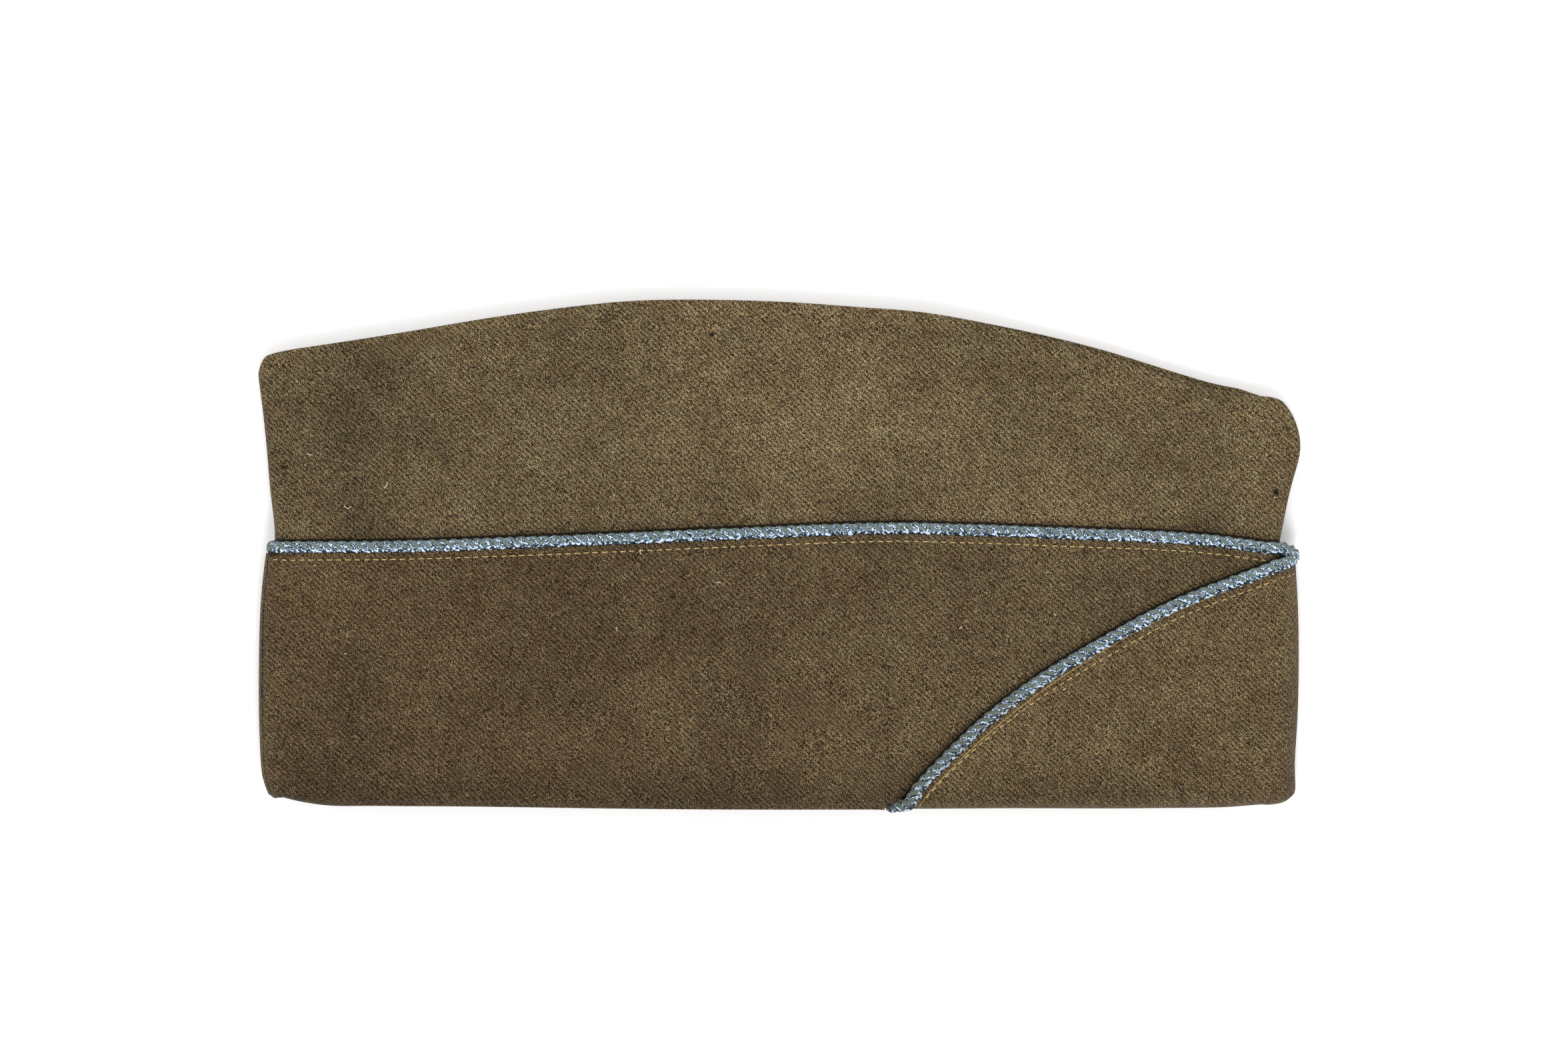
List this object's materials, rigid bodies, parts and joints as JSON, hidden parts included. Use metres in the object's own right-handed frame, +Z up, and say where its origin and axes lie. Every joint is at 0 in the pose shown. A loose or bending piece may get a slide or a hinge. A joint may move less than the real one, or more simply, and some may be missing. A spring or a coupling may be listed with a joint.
{
  "type": "garrison cap",
  "caption": "Folded wool garrison cap lying flat: tall crown with a pleated top, turned-up curtain overlapping at the front and twisted cord piping along its edges.",
  "frame": {"origin": "on the table, under the middle of the folded cap's outline", "axes": "the cap lies on its left side: +X towards its front, where the curtain overlaps, +Y towards the top of the crown, +Z up from the table"},
  "size_m": [0.2884, 0.1418, 0.026],
  "materials": {
    "wool": "matte olive-drab wool twill",
    "piping": "twisted cord of matte grey yarn and shiny pale blue thread"
  },
  "bodies": {
    "root": {"crown_right_panel": "wool", "crown_left_panel": "wool", "crown_top_gusset": "wool", "curtain_right": "wool", "curtain_left": "wool", "piping_right": "piping", "piping_left": "piping"}
  },
  "joints": []
}
